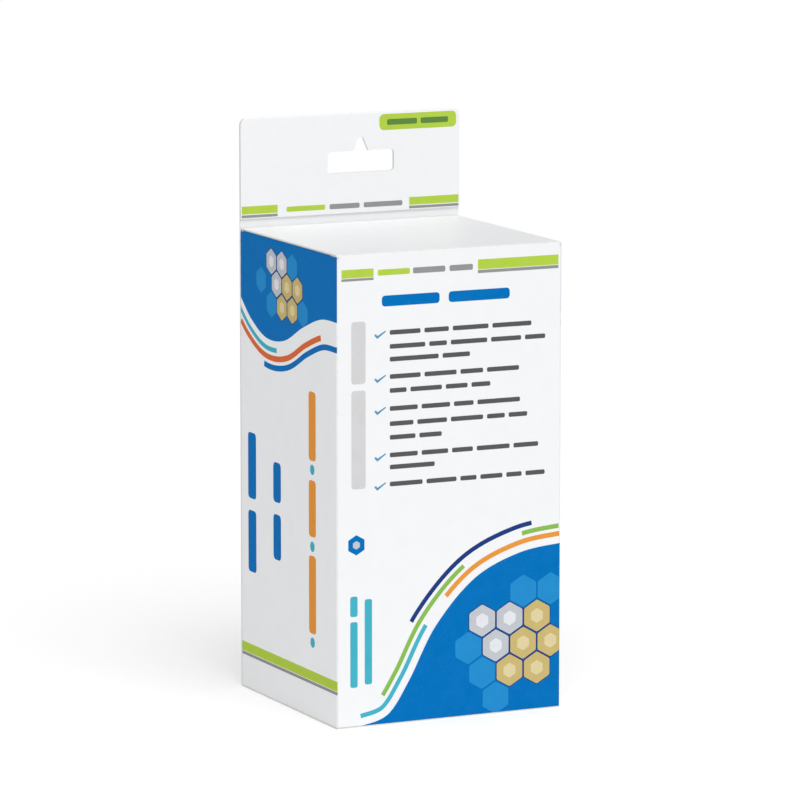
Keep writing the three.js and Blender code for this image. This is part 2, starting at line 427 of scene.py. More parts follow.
inks = {
    "blue": (0.0010, 0.170, 0.510),
    "lime": (0.462, 0.651, 0.068),
    "bandGrey": (0.31, 0.31, 0.31),
    "navy": (0.018, 0.047, 0.215),
    "orange": (0.83, 0.325, 0.053),
    "red": (0.75, 0.156, 0.045),
    "green": (0.262, 0.515, 0.091),
    "teal": (0.062, 0.456, 0.578),
    "paleGrey": (0.67, 0.67, 0.68),
    "text": (0.105, 0.105, 0.11),
    "tick": (0.10, 0.31, 0.56),
    "tan": (0.61, 0.48, 0.185),
    "silver": (0.55, 0.58, 0.62),
    "sky": (0.02, 0.27, 0.62),
    "moss": (0.12, 0.25, 0.06),
    "sand": (0.76, 0.65, 0.36),
    "pearl": (0.78, 0.80, 0.83),
}
inkFinish = {
    "mottle": 0.02,
    "mottleBand": (0.3, 0.7),
    "white": 0.1,  # how much of the sheet's white shows where the ink is thin
    "speck": 0.07,
    "roughness": 0.40,
    "mottleRoughness": 0.12,
    "speckRoughness": 0.4,
    "specular": 0.01,
    "fibreDepth": 0.0035,
}


def inkMaterial(name, rgb):
    f = inkFinish
    material, w, place, shader = startMaterial(name)
    where = place.outputs["Object"]
    lay = placeGroup(w, inkGroup, Vector=where)
    grain = placeGroup(w, boardGroup, Vector=where)
    deep = [c * (1 - 2 * f["mottle"]) for c in rgb]
    thin = [c + (1 - c) * f["mottle"] * f["white"] for c in rgb]
    body = w.mix(w.ramp(lay["Mottle"], *f["mottleBand"]), colour(deep), colour(thin))
    speck = w.math("MULTIPLY", lay["Speck"], f["speck"])
    w.join(w.mix(speck, body, colour(board["coated"])), shader.inputs["Base Color"])
    gloss = w.math("MULTIPLY_ADD", lay["Mottle"], f["mottleRoughness"], f["roughness"])
    w.join(w.math("MULTIPLY_ADD", speck, f["speckRoughness"], gloss), shader.inputs["Roughness"])
    shader.inputs["Specular IOR Level"].default_value = f["specular"]
    relief(w, shader, [(grain["Wave"], board["waveDepth"]), (grain["Fibre"], f["fibreDepth"])])
    return material


inkOf = {name: inkMaterial(name + "Ink", rgb) for name, rgb in inks.items()}


# The blank: print is laid out flat, u along the walls and z up, then folded round the sleeve

sleeve = {
    "halfWidth": 40, "front": -38, "back": 37.4, "foldRadius": 0.9, "facets": 12,
    "sideTop": 151.8, "frontTop": 153, "foot": 0.6,
}
# How far inks stand proud of the board: the first one, each one printed over it, and how deep
# an upper one reaches into the one below
film = {"bottom": -0.008, "top": 0.014, "layer": 0.012, "bite": 0.006}
flatHalf = sleeve["halfWidth"] - sleeve["foldRadius"]
arcLength = sleeve["foldRadius"] * math.pi / 2
foldMiddle = flatHalf + arcLength / 2  # u of the middle of the two front folds
sideStart = flatHalf + arcLength
sideFlat = sleeve["back"] - sleeve["front"] - 2 * sleeve["foldRadius"]
sideEnd = sideStart + sideFlat + arcLength / 2  # u of the middle of the back folds
cutSlack = 1e-5  # a point this near a cut counts as on it


def leftU(y):
    # The place on the blank of a point of the left wall
    return -(sideStart + y - sleeve["front"] - sleeve["foldRadius"])


def foldRound(u, z, lift):
    # From the blank to the erected sleeve, lift outwards
    sign = -1 if u < 0 else 1
    r, along = sleeve["foldRadius"], abs(u)
    frontY = sleeve["front"] + r
    if along <= flatHalf:
        return (u, sleeve["front"] - lift, z)
    if along <= sideStart:
        a = (along - flatHalf) / r
        return (sign * (flatHalf + (r + lift) * math.sin(a)), frontY - (r + lift) * math.cos(a), z)
    if along <= sideStart + sideFlat:
        return (sign * (sleeve["halfWidth"] + lift), frontY + along - sideStart, z)
    a = (along - sideStart - sideFlat) / r
    backY = sleeve["back"] - r
    return (sign * (flatHalf + (r + lift) * math.cos(a)), backY + (r + lift) * math.sin(a), z)


def onHeader(x, z, lift):
    return (x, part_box("hang_panel")[0].y / mm - lift, z)


def foldCuts():
    step = arcLength / sleeve["facets"]
    near = [flatHalf + step * i for i in range(sleeve["facets"] + 1)]
    far = [sideStart + sideFlat + step * i for i in range(sleeve["facets"] + 1)]
    return [sign * cut for cut in near + far for sign in (-1, 1)]


def newPiece(name, points, faces, material, slot="printed_board"):
    mesh = bpy.data.meshes.new(name)
    mesh.from_pydata(points, [], faces)
    mesh.materials.append(material)
    piece = bpy.data.objects.new(name, mesh)
    bpy.context.scene.collection.objects.link(piece)
    return piece


def printPiece(name, flat, ink, surface=foldRound, layer=0):
    # flat is a bmesh of faces on the blank, and becomes a closed film on the board
    bmesh.ops.triangulate(flat, faces=flat.faces[:])
    if surface is foldRound:
        reach = [v.co.x for v in flat.verts]
        for cut in foldCuts():
            if min(reach) < cut < max(reach):
                bmesh.ops.bisect_plane(flat, geom=flat.verts[:] + flat.edges[:] + flat.faces[:],
                                       dist=cutSlack, plane_co=(cut, 0, 0), plane_no=(1, 0, 0))
    bmesh.ops.triangulate(flat, faces=flat.faces[:])
    for face in flat.faces:
        if face.normal.z < 0:
            face.normal_flip()
    top = film["top"] + film["layer"] * layer
    lifts = (film["bottom"] if layer == 0 else top - film["layer"] - film["bite"], top)
    flat.verts.ensure_lookup_table()
    count = len(flat.verts)
    points = [[c * mm for c in surface(v.co.x, v.co.y, lift)]
              for lift in lifts for v in flat.verts]
    faces = []
    for face in flat.faces:
        ring = [v.index for v in face.verts]
        faces.append([i + count for i in ring])
        faces.append(list(reversed(ring)))
        for loop in face.loops:
            if len(loop.edge.link_faces) == 1:
                a, b = loop.vert.index, loop.link_loop_next.vert.index
                faces.append([a, b, b + count, a + count])
    flat.free()
    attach(newPiece(name, points, faces, inkOf[ink]), "carton")


def flatShapes(outlines):
    # A flat bmesh of filled outlines
    sheet = bmesh.new()
    for outline in outlines:
        sheet.faces.new([sheet.verts.new((x, z, 0)) for x, z in outline])
    sheet.verts.index_update()
    sheet.normal_update()
    return sheet


def bar(x0, z0, x1, z1, corner=0.0, steps=5):
    # A rectangle on the blank, with rounded corners if asked
    if corner <= 0:
        return [(x0, z0), (x1, z0), (x1, z1), (x0, z1)]
    points = []
    for cx, cz, start in ((x1 - corner, z0 + corner, -90), (x1 - corner, z1 - corner, 0),
                          (x0 + corner, z1 - corner, 90), (x0 + corner, z0 + corner, 180)):
        for i in range(steps + 1):
            a = math.radians(start + 90 * i / steps)
            points.append((cx + corner * math.cos(a), cz + corner * math.sin(a)))
    return points


def evenShape(x, z, radius, corners, start=0):
    angles = [math.radians(start + 360 * i / corners) for i in range(corners)]
    return [(x + radius * math.cos(a), z + radius * math.sin(a)) for a in angles]


# Geometry node trees for the print that repeats or follows a path

cellSides, cellTurn = 6, 30  # turned so that its flat sides face along the rows
cornerPoints = 4


def geometryTree(name, takes):
    tree = bpy.data.node_groups.new(name, "GeometryNodeTree")
    tree.interface.new_socket("Geometry", in_out="INPUT", socket_type="NodeSocketGeometry")
    for label, kind, value in takes:
        socket = tree.interface.new_socket(label, in_out="INPUT", socket_type=kind)
        if value is not None:
            socket.default_value = value
    tree.interface.new_socket("Geometry", in_out="OUTPUT", socket_type="NodeSocketGeometry")
    w = Wiring(tree)
    return tree, w, w.node("NodeGroupInput"), w.node("NodeGroupOutput")


def endTree(w, shapes, material, gone):
    real = w.node("GeometryNodeRealizeInstances")
    w.join(shapes, real.inputs[0])
    paint = w.node("GeometryNodeSetMaterial")
    w.join(real.outputs[0], paint.inputs["Geometry"])
    w.join(material, paint.inputs["Material"])
    w.join(paint.outputs[0], gone.inputs[0])


def roundAndFill(w, outlines, corner):
    # Instanced outlines become flat shapes with rounded corners
    real = w.node("GeometryNodeRealizeInstances")
    w.join(outlines, real.inputs[0])
    rounded = w.node("GeometryNodeFilletCurve", mode="POLY")
    rounded.inputs["Count"].default_value = cornerPoints
    rounded.inputs["Limit Radius"].default_value = True
    w.join(real.outputs[0], rounded.inputs["Curve"])
    w.join(corner, rounded.inputs["Radius"])
    filled = w.node("GeometryNodeFillCurve")
    w.join(rounded.outputs[0], filled.inputs[0])
    return filled.outputs[0]


def makeWordTree():
    # One line of words as rounded bars of seeded lengths, which fill the line's length
    tree, w, given, gone = geometryTree("wordLine", [
        ("Words", "NodeSocketInt", 4), ("Line Length", "NodeSocketFloat", 50.0),
        ("Word Height", "NodeSocketFloat", 1.5), ("Word Gap", "NodeSocketFloat", 1.6),
        ("Corner", "NodeSocketFloat", 0.5), ("Longest", "NodeSocketFloat", 2.6),
        ("Seed", "NodeSocketInt", 1), ("Material", "NodeSocketMaterial", None)])
    take = given.outputs
    points = w.node("GeometryNodeMeshLine")
    w.join(take["Words"], points.inputs["Count"])
    index = w.node("GeometryNodeInputIndex").outputs[0]
    share = w.node("FunctionNodeRandomValue", data_type="FLOAT")
    floats = [s for s in share.inputs if s.type == "VALUE"]
    floats[0].default_value = 1.0  # the shortest word
    w.join(take["Longest"], floats[1])
    w.join(take["Seed"], share.inputs["Seed"])
    width = next(s for s in share.outputs if s.type == "VALUE")
    summed = w.node("GeometryNodeAccumulateField", data_type="FLOAT", domain="POINT")
    w.join(width, summed.inputs[0])
    gaps = w.math("MULTIPLY", take["Word Gap"], w.math("SUBTRACT", take["Words"], 1.0))
    scale = w.math("DIVIDE", w.math("SUBTRACT", take["Line Length"], gaps), summed.outputs["Total"])
    gapsBefore = w.math("MULTIPLY", index, take["Word Gap"])
    start = w.math("MULTIPLY_ADD", summed.outputs["Trailing"], scale, gapsBefore)
    middle = w.math("MULTIPLY_ADD", w.math("MULTIPLY", width, scale), 0.5, start)
    place = w.node("ShaderNodeCombineXYZ")
    w.join(middle, place.inputs[0])
    moved = w.node("GeometryNodeSetPosition")
    w.join(points.outputs[0], moved.inputs["Geometry"])
    w.join(place.outputs[0], moved.inputs["Position"])
    stretch = w.node("ShaderNodeCombineXYZ")
    w.join(w.math("MULTIPLY", width, scale), stretch.inputs[0])
    w.join(take["Word Height"], stretch.inputs[1])
    stretch.inputs[2].default_value = 1.0
    unit = w.node("GeometryNodeCurvePrimitiveQuadrilateral")
    unit.inputs["Width"].default_value = 1.0
    unit.inputs["Height"].default_value = 1.0
    each = w.node("GeometryNodeInstanceOnPoints")
    w.join(moved.outputs[0], each.inputs["Points"])
    w.join(unit.outputs[0], each.inputs["Instance"])
    w.join(stretch.outputs[0], each.inputs["Scale"])
    endTree(w, roundAndFill(w, each.outputs[0], take["Corner"]), take["Material"], gone)
    return tree


def makeCellTree():
    # A rounded six-sided cell on each of the points that it is given
    tree, w, given, gone = geometryTree("cellField", [
        ("Cell Radius", "NodeSocketFloat", 4.6),
        ("Corner", "NodeSocketFloat", 0.8), ("Material", "NodeSocketMaterial", None)])
    take = given.outputs
    cell = w.node("GeometryNodeCurvePrimitiveCircle")
    cell.inputs["Resolution"].default_value = cellSides
    w.join(take["Cell Radius"], cell.inputs["Radius"])
    each = w.node("GeometryNodeInstanceOnPoints")
    w.join(take["Geometry"], each.inputs["Points"])
    w.join(cell.outputs[0], each.inputs["Instance"])
    each.inputs["Rotation"].default_value = (0.0, 0.0, math.radians(cellTurn))
    endTree(w, roundAndFill(w, each.outputs[0], take["Corner"]), take["Material"], gone)
    return tree


def makeStripeTree():
    # A flat stripe beside a path, from one share of its length to another
    tree, w, given, gone = geometryTree("stripeAlong", [
        ("Offset", "NodeSocketFloat", 2.0), ("Width", "NodeSocketFloat", 1.5),
        ("Start", "NodeSocketFloat", 0.0), ("End", "NodeSocketFloat", 1.0),
        ("Points", "NodeSocketInt", 60), ("Material", "NodeSocketMaterial", None)])
    take = given.outputs
    curve = w.node("GeometryNodeMeshToCurve")
    w.join(take["Geometry"], curve.inputs[0])
    tangent = w.node("GeometryNodeInputTangent").outputs[0]
    side = w.vector("CROSS_PRODUCT", (0.0, 0.0, 1.0), tangent)
    shift = w.node("ShaderNodeVectorMath", operation="SCALE")
    w.join(side, shift.inputs[0])
    w.join(take["Offset"], shift.inputs["Scale"])
    moved = w.node("GeometryNodeSetPosition")
    w.join(curve.outputs[0], moved.inputs["Geometry"])
    w.join(shift.outputs[0], moved.inputs["Offset"])
    trimmed = w.node("GeometryNodeTrimCurve", mode="FACTOR")
    w.join(moved.outputs[0], trimmed.inputs["Curve"])
    ends = [s for s in trimmed.inputs if s.type == "VALUE" and s.enabled]
    w.join(take["Start"], ends[0])
    w.join(take["End"], ends[1])
    even = w.node("GeometryNodeResampleCurve")
    w.join(trimmed.outputs[0], even.inputs["Curve"])
    w.join(take["Points"], even.inputs["Count"])
    upright = w.node("GeometryNodeSetCurveNormal")
    w.join(even.outputs[0], upright.inputs["Curve"])
    upright.mode = "Z_UP"
    profile = w.node("GeometryNodeCurvePrimitiveLine")
    half = w.math("MULTIPLY", take["Width"], 0.5)
    for socket, sign in (("Start", -1.0), ("End", 1.0)):
        point = w.node("ShaderNodeCombineXYZ")
        w.join(w.math("MULTIPLY", half, sign), point.inputs[0])
        w.join(point.outputs[0], profile.inputs[socket])
    ribbon = w.node("GeometryNodeCurveToMesh")
    w.join(upright.outputs[0], ribbon.inputs["Curve"])
    w.join(profile.outputs[0], ribbon.inputs["Profile Curve"])
    endTree(w, ribbon.outputs[0], take["Material"], gone)
    return tree


def runTree(tree, settings, points=((0, 0, 0),), edges=()):
    # Evaluates a tree on a bare mesh and gives back a plain mesh
    mesh = bpy.data.meshes.new("seedPoints")
    mesh.from_pydata([tuple(p) for p in points], [tuple(e) for e in edges], [])
    holder = bpy.data.objects.new("seedPoints", mesh)
    modifier = holder.modifiers.new("tree", "NODES")
    modifier.node_group = tree
    for item in tree.interface.items_tree:
        if item.item_type == "SOCKET" and item.in_out == "INPUT" and item.name in settings:
            modifier[item.identifier] = settings[item.name]
    bpy.context.scene.collection.objects.link(holder)
    bpy.context.view_layer.update()
    seen = holder.evaluated_get(bpy.context.evaluated_depsgraph_get())
    made = bpy.data.meshes.new_from_object(seen)
    bpy.data.objects.remove(holder)
    return made


def addMesh(sheet, mesh, at=(0, 0), turn=0):
    # Adds a tree's flat result to a bmesh, turned about its own start and moved into place
    sheet = sheet or bmesh.new()
    c, s = math.cos(math.radians(turn)), math.sin(math.radians(turn))
    verts = [sheet.verts.new((at[0] + v.co.x * c - v.co.y * s, at[1] + v.co.x * s + v.co.y * c, 0))
             for v in mesh.vertices]
    for face in mesh.polygons:
        sheet.faces.new([verts[i] for i in face.vertices])
    sheet.verts.index_update()
    sheet.normal_update()
    return sheet


wordTree, cellTree, stripeTree = makeWordTree(), makeCellTree(), makeStripeTree()


def wordLines(lines, look, ink, sheet=None):
    # Each line: where it starts, its length, how many words and its seed
    for x, z, length, words, seed in lines:
        mesh = runTree(wordTree, {
            "Words": words, "Line Length": float(length), "Word Height": look["height"],
            "Word Gap": look["gap"], "Corner": look["corner"], "Longest": look["longest"],
            "Seed": seed, "Material": inkOf[ink]})
        sheet = addMesh(sheet, mesh, (x, z), look.get("turn", 0))
    return sheet


# Print on the header

headerPrint = {
    "limeLeft": (-39.5, 157.5, -26.6, 160.1),
    "limeRight": (21.3, 157.5, 39.5, 160.1),
    "greyLeft": (-39.5, 156.3, -26.6, 157.2),
    "greyRight": (21.3, 156.3, 39.5, 157.2),
    "label": (10.4, 182.9, 38.6, 188.2),
    "labelCorner": 1.6,
    "labelWords": [(13.2, 185.5, 22.4, 2, 3)],
    "labelLook": {"height": 1.9, "gap": 1.3, "corner": 0.5, "longest": 1.6},
    "limeWord": [(-23.4, 158.4, 14.0, 1, 1)],
    "greyWords": [(-7.8, 158.4, 26.6, 2, 5)],
    "wordLook": {"height": 1.7, "gap": 1.5, "corner": 0.5, "longest": 1.9},
}


def printHeader():
    p = headerPrint
    lime = flatShapes([
        bar(*p["limeLeft"]), bar(*p["limeRight"]), bar(*p["label"], p["labelCorner"])])
    lime = wordLines(p["limeWord"], p["wordLook"], "lime", lime)
    printPiece("ink_header_lime", lime, "lime", onHeader)
    grey = flatShapes([bar(*p["greyLeft"]), bar(*p["greyRight"])])
    grey = wordLines(p["greyWords"], p["wordLook"], "bandGrey", grey)
    printPiece("ink_header_grey", grey, "bandGrey", onHeader)
    label = wordLines(p["labelWords"], p["labelLook"], "moss")
    printPiece("ink_header_label_words", label, "moss", onHeader, 1)


# Print on the front wall

frontPrint = {
    "limeLeft": (-38.3, 145.5, -27.1, 148.2),
    "limeRight": (9.8, 145.7, 38.7, 148.9),
    "greyLeft": (-38.3, 144.5, -27.1, 145.3),
    "greyRight": (9.8, 144.5, 38.7, 145.5),
    "limeWord": [(-25.6, 146.7, 11.3, 1, 1)],
    "greyWords": [(-13.2, 146.7, 21.2, 2, 4)],
    "bandLook": {"height": 1.9, "gap": 1.5, "corner": 0.5, "longest": 1.7},
    "title": [(-24.2, 137.5, 45.4, 2, 2)],
    "titleLook": {"height": 3.5, "gap": 3.2, "corner": 1.1, "longest": 1.3},
    "body": [
        (-21.4, 127.3, 50.4, 4, 11), (-21.4, 122.8, 55.4, 5, 12), (-21.4, 118.7, 28.4, 2, 13),
        (-21.4, 113.1, 46.0, 4, 14), (-21.4, 108.6, 35.7, 4, 15),
        (-21.4, 102.8, 46.4, 4, 16), (-21.4, 97.9, 49.0, 5, 17), (-21.4, 93.5, 18.4, 2, 18),
        (-21.4, 87.8, 53.0, 5, 19), (-21.4, 83.9, 15.9, 1, 20),
        (-21.4, 78.4, 55.4, 6, 21),
    ],
    "bodyLook": {"height": 1.5, "gap": 1.4, "corner": 0.45, "longest": 2.8},
    "ticks": (127.3, 113.1, 102.8, 87.8, 78.4),
    "tickX": -26.9,
    "tickDrop": 1.7,
    "tall": [(-32.4, 77.6, 31.7, 1, 6), (-32.4, 111.4, 20.0, 1, 6)],
    "tallLook": {"height": 5.0, "gap": 4.2, "corner": 1.0, "longest": 1.5, "turn": 90},
    "teal": [(-34.1, 13.2, 21.4, 1, 8), (-34.1, 36.3, 6.6, 1, 8), (-29.0, 13.9, 27.8, 1, 9)],
    "tealLook": {"height": 2.6, "gap": 2.0, "corner": 0.7, "longest": 2.6, "turn": 90},
    "mark": (-33.2, 59.5, 3.3),
    "markCore": 0.42,
}
# The tick's outline
tickShape = [(0.0, 1.05), (0.6, 1.5), (1.15, 0.85), (3.95, 2.4), (4.2, 2.1), (1.1, -0.1)]


def printFront():
    p = frontPrint
    lime = flatShapes([bar(*p["limeLeft"]), bar(*p["limeRight"])])
    lime = wordLines(p["limeWord"], p["bandLook"], "lime", lime)
    printPiece("ink_front_lime", lime, "lime")
    grey = flatShapes([bar(*p["greyLeft"]), bar(*p["greyRight"])])
    grey = wordLines(p["greyWords"], p["bandLook"], "bandGrey", grey)
    printPiece("ink_front_grey", grey, "bandGrey")
    printPiece("ink_front_title", wordLines(p["title"], p["titleLook"], "blue"), "blue")
    printPiece("ink_front_body", wordLines(p["body"], p["bodyLook"], "text"), "text")
    ticks = [[(p["tickX"] + x, z + y - p["tickDrop"]) for x, y in tickShape] for z in p["ticks"]]
    printPiece("ink_front_ticks", flatShapes(ticks), "tick")
    printPiece("ink_front_tall_words", wordLines(p["tall"], p["tallLook"], "paleGrey"), "paleGrey")
    printPiece("ink_front_teal_words", wordLines(p["teal"], p["tealLook"], "teal"), "teal")
    x, z, radius = p["mark"]
    radii = (radius, radius * p["markCore"])
    mark, core = [evenShape(x, z, r, cellSides, cellTurn) for r in radii]
    printPiece("ink_front_mark", flatShapes([mark]), "blue")
    printPiece("ink_front_mark_core", flatShapes([core]), "silver", layer=1)


# Print on the side walls, given for the left one

sidePrint = {
    "limeBand": (12.4, 15.6),
    "greyBand": (11.2, 12.2),
    "blueWords": [(28.2, 40.0, 46.5, 2, 2)],
    "blueLook": {"height": 6.4, "gap": 4.0, "corner": 1.4, "longest": 1.3, "turn": 90},
    "secondWords": [(8.3, 47.4, 32.2, 2, 7)],
    "secondLook": {"height": 6.0, "gap": 4.0, "corner": 1.6, "longest": 1.6, "turn": 90},
    "orangeWords": [
        (-19.2, 27.9, 25.5, 1, 1), (-19.2, 59.6, 18.4, 1, 1), (-19.2, 84.4, 22.4, 1, 1)],
    "orangeLook": {"height": 5.4, "gap": 3.0, "corner": 1.4, "longest": 1.5, "turn": 90},
    "dots": (25.0, 56.4, 81.5),
    "dotRadius": 1.7,
    "dotCorners": 20,
}


# Both side walls carry the same print, so the right one's is the left one's moved along the blank
sides = {"left": 0, "right": sideEnd + foldMiddle}


def onWall(lines, shift):
    # A line that is given by its y on the left wall, at its place on the blank
    return [(leftU(y) + shift, z, length, words, seed) for y, z, length, words, seed in lines]


def printSide(side):
    p, shift = sidePrint, sides[side]
    ends = (shift - sideEnd, shift - foldMiddle)
    for ink, band in (("lime", p["limeBand"]), ("bandGrey", p["greyBand"])):
        printPiece(f"ink_{side}_{ink}", flatShapes([bar(ends[0], band[0], ends[1], band[1])]), ink)
    blue = wordLines(onWall(p["blueWords"], shift), p["blueLook"], "blue")
    blue = wordLines(onWall(p["secondWords"], shift), p["secondLook"], "blue", blue)
    printPiece(f"ink_{side}_words", blue, "blue")
    orange = wordLines(onWall(p["orangeWords"], shift), p["orangeLook"], "orange")
    printPiece(f"ink_{side}_orange", orange, "orange")
    dotU = leftU(p["orangeWords"][0][0]) + shift
    dots = [evenShape(dotU, z, p["dotRadius"], p["dotCorners"]) for z in p["dots"]]
    printPiece(f"ink_{side}_dots", flatShapes(dots), "teal")


# The blue fields, each with stripes along its wavy edge and a honeycomb on it

frontField = {
    "across": lambda x: x,
    # From the bottom edge up to the right fold; the field lies below and to the right of it
    "path": [
        (-31.0, 0.6), (-22.0, 3.5), (-14.5, 14.0), (-5.0, 31.0), (9.0, 45.5), (25.0, 52.5),
        (foldMiddle, 54.5),
    ],
    "stripes": [  # ink, offset from the edge, width, and where it starts and ends along the edge
        ("teal", 3.2, 1.5, 0.0, 0.40), ("green", 5.8, 1.5, 0.10, 0.62),
        ("navy", 8.4, 1.5, 0.34, 0.90), ("orange", 3.2, 1.6, 0.52, 1.0),
        ("green", 5.8, 1.5, 0.86, 1.0),
    ],
    "cells": {"outline": 5.7, "cell": 5.35, "core": 2.5, "corner": 0.9},
    "tan": [(21.5, 14.0), (31.4, 14.0), (26.4, 22.6), (36.3, 22.6), (31.4, 31.2)],
    "silver": [(16.5, 22.6), (11.6, 31.2), (21.5, 31.2)],
    "sky": [(6.6, 22.6), (11.6, 14.0), (26.4, 39.8), (36.3, 39.8), (16.5, 5.4)],
}
sideField = {
    "across": leftU,
    # From the back fold to the front one, as y on the wall; the field lies above it
    "path": [
        (37.4, 131.0), (28.0, 124.0), (16.0, 119.5), (2.0, 120.5), (-12.0, 126.5), (-26.0, 131.0),
        (-38.0, 131.5),
    ],
    "stripes": [
        ("teal", -3.0, 1.6, 0.0, 0.42), ("red", -5.8, 1.9, 0.08, 0.86),
        ("blue", -8.8, 1.9, 0.34, 1.0),
    ],
    "cells": {"outline": 4.65, "cell": 4.32, "core": 2.0, "corner": 0.8},
    "tan": [(4.0, 131.0), (-4.1, 131.0), (0.0, 138.1), (-8.1, 138.1)],
    "silver": [(8.1, 138.1), (4.0, 145.1), (12.2, 145.1)],
    "sky": [(12.2, 131.0), (-12.2, 131.0), (-4.1, 145.1), (20.3, 138.1)],
}


def between(p, q, r, s, t):
    # One coordinate of a Catmull-Rom curve, at t on its way from q to r
    return 0.5 * (2 * q + (r - p) * t + (2 * p - 5 * q + 4 * r - s) * t * t
                  + (3 * q - p - 3 * r + s) * t ** 3)


def smoothPath(points, steps=10):
    ends = [points[0], *points, points[-1]]
    path = []
    for four in zip(ends, ends[1:], ends[2:], ends[3:]):
        for i in range(steps):
            path.append(tuple(between(*along, i / steps) for along in zip(*four)))
    return path + [tuple(points[-1])]


def clipSheet(sheet, left, right, foot, top):
    # Cuts off what would be printed outside a panel
    for point, normal in (((left, 0, 0), (-1, 0, 0)), ((right, 0, 0), (1, 0, 0)),
                          ((0, foot, 0), (0, -1, 0)), ((0, top, 0), (0, 1, 0))):
        bmesh.ops.bisect_plane(sheet, geom=sheet.verts[:] + sheet.edges[:] + sheet.faces[:],
                               dist=cutSlack, plane_co=point, plane_no=normal, clear_outer=True)
    sheet.verts.index_update()
    return sheet


def stripesBeside(name, path, stripes, panel):
    edges = [(i, i + 1) for i in range(len(path) - 1)]
    byInk = {}
    for ink, offset, width, start, end in stripes:
        mesh = runTree(stripeTree, {
            "Offset": offset, "Width": width, "Start": start, "End": end, "Material": inkOf[ink]},
            [(x, z, 0) for x, z in path], edges)
        byInk[ink] = addMesh(byInk.get(ink), mesh)
    for ink, sheet in byInk.items():
        printPiece(name + "_stripes_" + ink, clipSheet(sheet, *panel), ink)


def cellsOn(name, radius, corner, places, ink, panel, layer):
    mesh = runTree(cellTree, {"Cell Radius": radius, "Corner": corner, "Material": inkOf[ink]},
                   [(x, z, 0) for x, z in places])
    printPiece(name, clipSheet(addMesh(None, mesh), *panel), ink, layer=layer)


def printCells(name, field, shift, panel):
    cells = field["cells"]
    corner = cells["corner"]
    placed = {ink: [(field["across"](x) + shift, z) for x, z in field[ink]]
              for ink in ("tan", "silver", "sky")}
    outlined = placed["tan"] + placed["silver"]
    cellsOn(name + "_sky", cells["cell"], corner, placed["sky"], "sky", panel, 1)
    cellsOn(name + "_outline", cells["outline"], corner, outlined, "navy", panel, 1)
    for ink, core in (("tan", "sand"), ("silver", "pearl")):
        cellsOn(f"{name}_{ink}", cells["cell"], corner, placed[ink], ink, panel, 2)
        cellsOn(f"{name}_{core}", cells["core"], corner / 2, placed[ink], core, panel, 3)


def rimLine(side, left, right):
    # A side wall's upper edge from left to right on the blank. It is lower along the dust flap's
    # fold, and where the board turns to the back.
    high, low, back = rim["top"], sleeve["sideTop"], arcLength / 2
    nextBack, nextFront = back + rim["backReach"], back + rim["frontReach"]
    backEnd = [(0, low), (back, low), (back, high), (nextBack, high), (nextBack, low)]
    frontEnd = [(nextFront, low), (nextFront, high), (0, high)]
    leftEnd, rightEnd = (backEnd, frontEnd) if side == "left" else (frontEnd[::-1], backEnd[::-1])
    return [(left + x, z) for x, z in leftEnd] + [(right - x, z) for x, z in rightEnd]


def printFields():
    panel = (-foldMiddle, foldMiddle, sleeve["foot"], sleeve["frontTop"])
    path = smoothPath(frontField["path"])
    outline = path + [(foldMiddle, sleeve["foot"])]
    printPiece("ink_front_field", flatShapes([list(reversed(outline))]), "blue")
    stripesBeside("ink_front", path, frontField["stripes"], panel)
    printCells("ink_front_cells", frontField, 0, panel)

    path = [(min(max(leftU(y), -sideEnd), -foldMiddle), z)
            for y, z in smoothPath(sideField["path"])]
    for side, shift in sides.items():
        left, right = shift - sideEnd, shift - foldMiddle
        panel = (left, right, sleeve["foot"], sleeve["sideTop"])
        moved = [(x + shift, z) for x, z in path]
        outline = moved + list(reversed(rimLine(side, left, right)))
        printPiece(f"ink_{side}_field", flatShapes([outline]), "blue")
        stripesBeside(f"ink_{side}", moved, sideField["stripes"], panel)
        printCells(f"ink_{side}_cells", sideField, shift, panel)


# Print on the back, which the picture doesn't show: bands and plain lines
backPrint = {
    "limeBands": [(11.9, 14.6), (157.5, 160.1)],
    "greyBands": [(10.3, 11.0), (156.3, 157.2)],
    "halfWidth": 39.4,
    "title": [(-30, 138.5, 40.0, 2, 31)],
    "titleLook": {"height": 3.4, "gap": 2.6, "corner": 0.9, "longest": 1.4},
    "bodyX": -30,
    "bodyTop": 129.5,
    "bodyStep": 4.8,
    "bodySeed": 40,
    "bodyLines": [  # each line's length and its number of words
        (58, 5), (55, 6), (59, 5), (31, 3), (0, 0), (57, 6), (52, 4), (58, 5), (22, 2), (0, 0),
        (54, 5), (40, 4),
    ],
    "bodyLook": {"height": 1.35, "gap": 1.4, "corner": 0.4, "longest": 2.8},
}


def onBack(x, z, lift):
    return (-x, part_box("hang_panel")[1].y / mm + lift, z)


def printBack():
    p = backPrint
    for name, ink in (("limeBands", "lime"), ("greyBands", "bandGrey")):
        bands = [bar(-p["halfWidth"], z0, p["halfWidth"], z1) for z0, z1 in p[name]]
        printPiece(f"ink_back_{ink}", flatShapes(bands), ink, onBack)
    printPiece("ink_back_title", wordLines(p["title"], p["titleLook"], "blue"), "blue", onBack)
    body = [(p["bodyX"], p["bodyTop"] - p["bodyStep"] * i, length, words, p["bodySeed"] + i)
            for i, (length, words) in enumerate(p["bodyLines"]) if words]
    printPiece("ink_back_body", wordLines(body, p["bodyLook"], "text"), "text", onBack)


# Rims and folded strips that close the board at its creases

